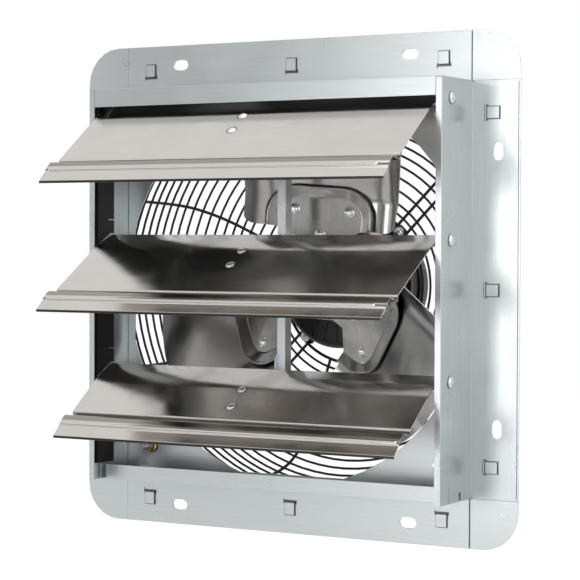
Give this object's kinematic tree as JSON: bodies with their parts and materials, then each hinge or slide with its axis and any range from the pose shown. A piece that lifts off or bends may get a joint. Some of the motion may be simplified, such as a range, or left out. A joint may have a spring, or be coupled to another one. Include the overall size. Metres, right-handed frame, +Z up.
{
  "type": "wall exhaust fan",
  "caption": "Square wall exhaust fan with linked gravity shutters in a sheet metal box, riveted propeller blades, wire guard and round motor.",
  "frame": {"origin": "centre of the round opening at the mounting plate's front face", "axes": "+Y back through the wall towards the motor, +X right as seen from the shutter side, +Z up"},
  "size_m": [0.4, 0.2942, 0.4],
  "materials": {
    "galvanised": "dull galvanised",
    "shutter_aluminium": "bright rolled",
    "black_wire": "black powder coat",
    "black_plastic": "matte",
    "motor_black": "black satin paint",
    "polished_steel": "polished",
    "blade_aluminium": "satin",
    "zinc": "zinc plated",
    "brass": "yellow passivated",
    "rubber": "matte"
  },
  "bodies": {
    "frame": {"bottom_channel": "galvanised", "bottom_left_corner_bolt": "zinc", "bottom_left_corner_nut": "brass", "bottom_right_corner_bolt": "zinc", "bottom_right_corner_nut": "brass", "cable_grommet": "rubber", "left_channel": "galvanised", "left_pivot_rail": "black_plastic", "lower_left_motor_bolt": "zinc", "lower_right_motor_bolt": "zinc", "motor_front_cap": "motor_black", "motor_mounting_plate": "black_wire", "motor_rear_cap": "motor_black", "motor_stator": "motor_black", "mounting_plate": "galvanised", "right_channel": "galvanised", "right_pivot_rail": "black_plastic", "top_channel": "galvanised", "top_left_corner_bolt": "zinc", "top_left_corner_nut": "brass", "top_right_corner_bolt": "zinc", "top_right_corner_nut": "brass", "upper_left_motor_bolt": "zinc", "upper_right_motor_bolt": "zinc", "wire_guard": "black_wire"},
    "top_flap": {"top_shutter": "shutter_aluminium", "top_lever": "zinc", "top_left_pivot_pin": "zinc", "top_right_pivot_pin": "zinc", "top_rear_rivet": "zinc", "top_front_rivet": "zinc"},
    "middle_flap": {"middle_shutter": "shutter_aluminium", "middle_lever": "zinc", "middle_left_pivot_pin": "zinc", "middle_right_pivot_pin": "zinc", "middle_rear_rivet": "zinc", "middle_front_rivet": "zinc"},
    "bottom_flap": {"bottom_shutter": "shutter_aluminium", "bottom_lever": "zinc", "bottom_left_pivot_pin": "zinc", "bottom_right_pivot_pin": "zinc", "bottom_rear_rivet": "zinc", "bottom_front_rivet": "zinc"},
    "linkage": {"tie_bar": "galvanised"},
    "fan_wheel": {"motor_shaft": "zinc", "motor_rotor": "zinc", "hub_spider": "polished_steel", "hub_collar": "zinc", "blade_1": "blade_aluminium", "blade_2": "blade_aluminium", "blade_3": "blade_aluminium", "blade_1_leading_rivet": "zinc", "blade_1_trailing_rivet": "zinc", "blade_1_inner_rivet": "zinc", "blade_2_leading_rivet": "zinc", "blade_2_trailing_rivet": "zinc", "blade_2_inner_rivet": "zinc", "blade_3_leading_rivet": "zinc", "blade_3_trailing_rivet": "zinc", "blade_3_inner_rivet": "zinc"}
  },
  "joints": [
    {"name": "top_shutter_hinge", "type": "hinge", "parent": "frame", "child": "top_flap", "pos_m": [0, -0.0382, 0.1454], "axis": [1, 0, 0], "range_deg": [-10, 53.5]},
    {"name": "middle_shutter_hinge", "type": "hinge", "parent": "frame", "child": "middle_flap", "pos_m": [0, -0.0382, 0.0382], "axis": [1, 0, 0], "range_deg": [-10, 53.5]},
    {"name": "bottom_shutter_hinge", "type": "hinge", "parent": "frame", "child": "bottom_flap", "pos_m": [0, -0.0382, -0.069], "axis": [1, 0, 0], "range_deg": [-10, 53.5]},
    {"name": "tie_bar_pivot", "type": "hinge", "parent": "top_flap", "child": "linkage", "pos_m": [0, -0.017, 0.1341], "axis": [1, 0, 0], "range_deg": [-53.5, 10]},
    {"name": "fan_spin", "type": "hinge", "parent": "frame", "child": "fan_wheel", "pos_m": [0, 0, 0], "axis": [0, 1, 0], "continuous": true}
  ],
  "couplings": [
    {"joint": "middle_shutter_hinge", "follows": "top_shutter_hinge", "ratio": 1},
    {"joint": "bottom_shutter_hinge", "follows": "top_shutter_hinge", "ratio": 1},
    {"joint": "tie_bar_pivot", "follows": "top_shutter_hinge", "ratio": -1}
  ]
}
